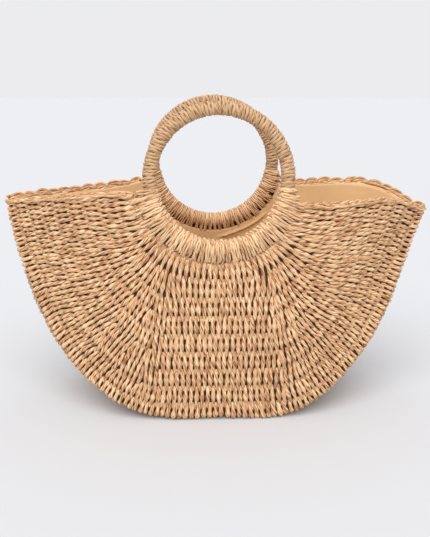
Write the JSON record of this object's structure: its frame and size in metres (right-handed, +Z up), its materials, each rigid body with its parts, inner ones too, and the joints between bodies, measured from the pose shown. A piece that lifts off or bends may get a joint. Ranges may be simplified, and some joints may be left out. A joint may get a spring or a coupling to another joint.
{
  "type": "straw basket bag with ring handles",
  "caption": "Half-moon handbag woven from twisted straw cord, with round ring handles on both panels, scalloped braid along its top edges and a cloth lining.",
  "frame": {"origin": "on the floor, under the middle of the bag's width and depth", "axes": "+X to the right of someone facing the front panel, -Y out of the front panel, +Z up"},
  "size_m": [0.4248, 0.1554, 0.307],
  "materials": {
    "straw_weave": "woven twisted paper straw, matt",
    "handle_cord": "wound twisted straw cord, satin",
    "binding_cord": "looped twisted straw cord, satin",
    "braid_cord": "braided straw cord, matt",
    "lining_cloth": "plain woven cotton, matt"
  },
  "bodies": {
    "root": {"basket_body": "straw_weave", "lining": "lining_cloth", "front_handle_ring": "handle_cord", "back_handle_ring": "handle_cord", "front_ring_binding": "binding_cord", "back_ring_binding": "binding_cord", "left_rim_braid": "braid_cord", "right_rim_braid": "braid_cord"}
  },
  "joints": []
}
